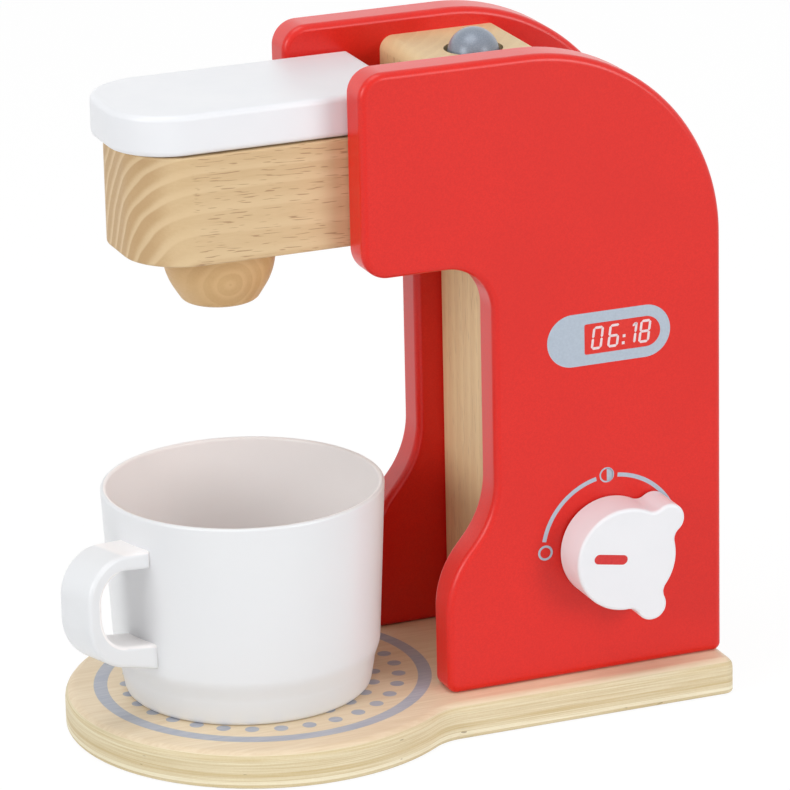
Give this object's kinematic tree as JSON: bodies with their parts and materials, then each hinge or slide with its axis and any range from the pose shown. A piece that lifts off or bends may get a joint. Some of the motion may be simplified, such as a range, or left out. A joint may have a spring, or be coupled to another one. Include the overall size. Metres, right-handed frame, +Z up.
{
  "type": "toy coffee maker",
  "caption": "Wooden toy coffee maker: red side panels on a plywood base, beech head under a hinged white lid, push button, turning knob and loose white cup.",
  "frame": {"origin": "middle of the base's underside: on the machine's centre plane, half way between the base's front and rear ends", "axes": "+Z up; -Y to the front, towards the cup and the nozzle; +X towards the side that carries the knob"},
  "size_m": [0.1116, 0.1885, 0.1903],
  "materials": {
    "plywood": "birch plywood, satin clear lacquer, laminated edge left bare",
    "red_paint": "wooden board in red satin paint, fine grain telling through",
    "white_paint": "wooden board in white satin paint",
    "grey_paint": "turned wooden ball in grey paint, satin gloss",
    "beech": "solid beech, satin clear lacquer",
    "steel": "zinc-plated steel",
    "white_plastic": "white moulded plastic, soft gloss"
  },
  "bodies": {
    "machine": {"base": "plywood", "right_side_panel": "red_paint", "left_side_panel": "red_paint", "column_block": "beech", "button_block": "beech", "head_block": "beech", "nozzle": "beech", "lid_hinge_rod": "steel", "button_cross_pin": "steel", "button_spring": "steel", "side_dowels": "beech", "head_dowels": "beech", "base_screws": "steel"},
    "lid": {"lid": "white_paint"},
    "button": {"button_ball": "grey_paint", "button_stem": "beech"},
    "knob": {"knob": "white_paint", "knob_axle": "beech", "knob_washer": "steel", "knob_screw": "steel"},
    "cup": {"cup": "white_plastic"}
  },
  "joints": [
    {"name": "lid_hinge", "type": "hinge", "parent": "machine", "child": "lid", "pos_m": [0, -0.00195, 0.17665], "axis": [-1, 0, 0], "range_deg": [0, 90]},
    {"name": "button_press", "type": "slide", "parent": "machine", "child": "button", "axis": [0, 0, -1], "range_m": [0, 0.005], "stiffness_N_per_m": 200, "deforming": ["button_spring"]},
    {"name": "knob_turn", "type": "hinge", "parent": "machine", "child": "knob", "pos_m": [0.034, 0.0553, 0.0472], "axis": [1, 0, 0], "continuous": true},
    {"name": "cup_slide", "type": "slide", "parent": "machine", "child": "cup", "axis": [0, -1, 0], "range_m": [0, 0.12]}
  ]
}
